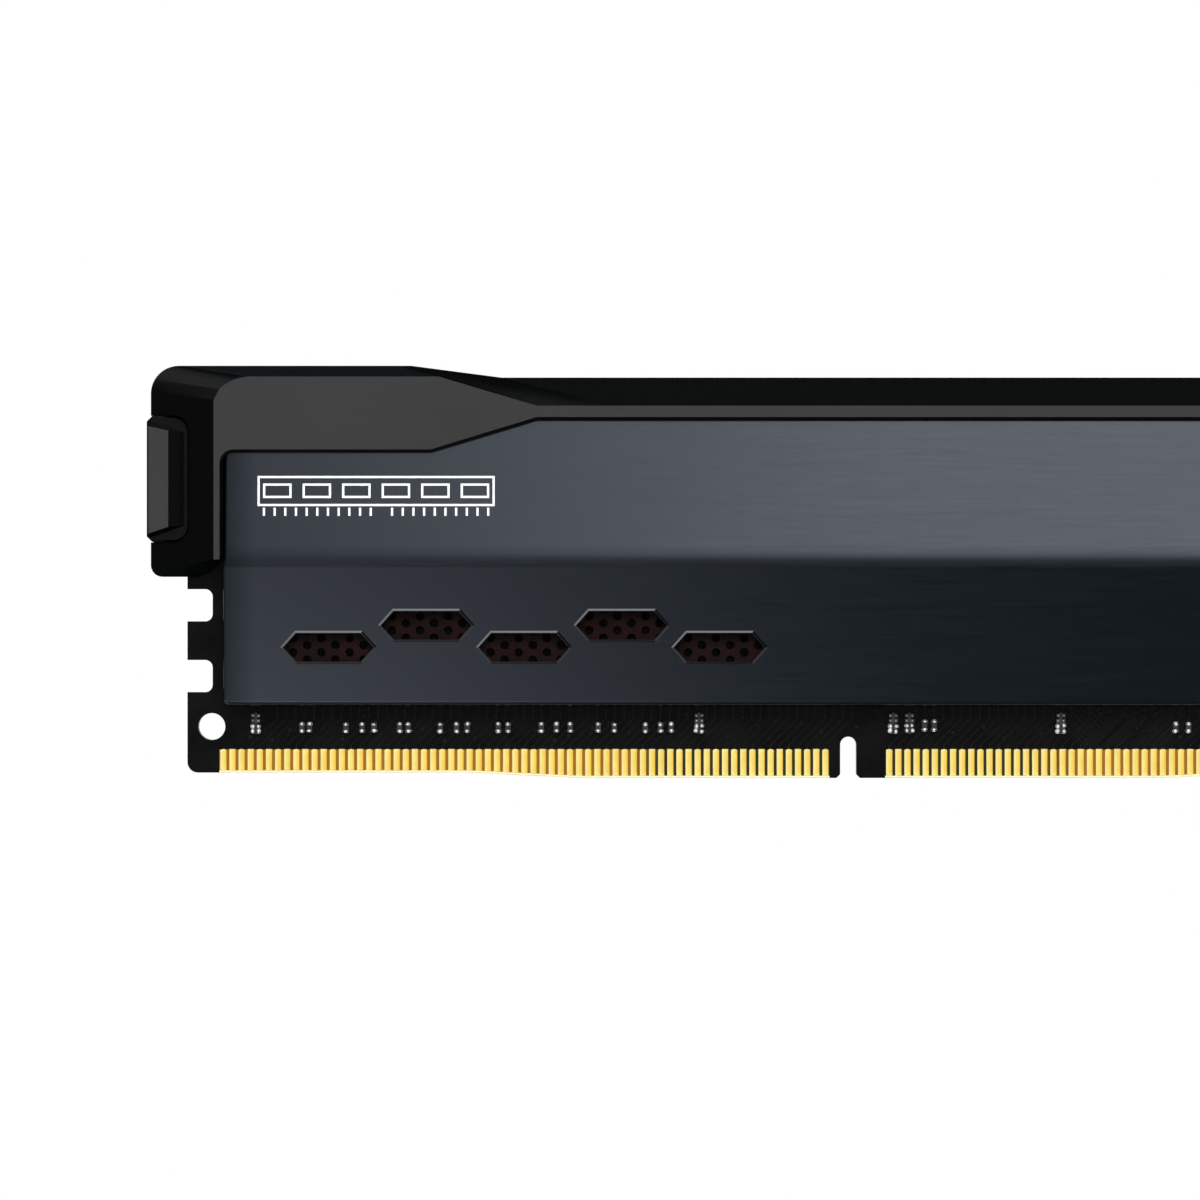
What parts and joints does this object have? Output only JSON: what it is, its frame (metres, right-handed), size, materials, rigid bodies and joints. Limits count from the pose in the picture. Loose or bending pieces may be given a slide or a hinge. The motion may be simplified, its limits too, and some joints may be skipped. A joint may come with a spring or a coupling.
{
  "type": "ram module",
  "caption": "Desktop memory module: black board with gold edge contacts under a blue-grey brushed heat spreader with a black frame over its top and ends.",
  "frame": {"origin": "middle of the board's length and thickness, at the height of its lowest contact edge", "axes": "+X along the contact row, +Z away from the socket, -Y out of the face whose short contact row is on the left"},
  "size_m": [0.1408, 0.0082, 0.0384],
  "materials": {
    "board_mask": "black solder mask, satin",
    "contact_gold": "gold plating, bright",
    "chip_mould": "moulded epoxy, matte",
    "solder_tin": "tinned, satin",
    "resistor_ceramic": "glazed black",
    "capacitor_ceramic": "unglazed tan",
    "pad_silicone": "soft grey silicone",
    "spreader_anodised": "brushed and anodised blue-grey",
    "mesh_bronze": "dark bronze, satin",
    "frame_black": "satin black",
    "lug_black": "satin black",
    "print_white": "screen printed ink"
  },
  "bodies": {
    "root": {"circuit_board": "board_mask", "edge_contacts_front": "contact_gold", "edge_contacts_back": "contact_gold", "memory_chip_front_1": "chip_mould", "memory_chip_front_2": "chip_mould", "memory_chip_front_3": "chip_mould", "memory_chip_front_4": "chip_mould", "memory_chip_front_5": "chip_mould", "memory_chip_front_6": "chip_mould", "memory_chip_front_7": "chip_mould", "memory_chip_front_8": "chip_mould", "memory_chip_back_1": "chip_mould", "memory_chip_back_2": "chip_mould", "memory_chip_back_3": "chip_mould", "memory_chip_back_4": "chip_mould", "memory_chip_back_5": "chip_mould", "memory_chip_back_6": "chip_mould", "memory_chip_back_7": "chip_mould", "memory_chip_back_8": "chip_mould", "spd_chip": "chip_mould", "solder_balls_front": "solder_tin", "solder_balls_back": "solder_tin", "resistor_terminals_front": "solder_tin", "resistor_terminals_back": "solder_tin", "resistor_array_terminals_front": "solder_tin", "resistor_array_terminals_back": "solder_tin", "capacitor_terminals_front": "solder_tin", "capacitor_terminals_back": "solder_tin", "resistor_bodies_front": "resistor_ceramic", "resistor_bodies_back": "resistor_ceramic", "resistor_array_bodies_front": "resistor_ceramic", "resistor_array_bodies_back": "resistor_ceramic", "capacitor_bodies_front": "capacitor_ceramic", "capacitor_bodies_back": "capacitor_ceramic", "thermal_pad_front": "pad_silicone", "thermal_pad_back": "pad_silicone", "heat_spreader_front": "spreader_anodised", "heat_spreader_back": "spreader_anodised", "vent_mesh_front": "mesh_bronze", "vent_mesh_back": "mesh_bronze", "top_frame": "frame_black", "end_lug_left": "lug_black", "end_lug_right": "lug_black"}
  },
  "joints": []
}
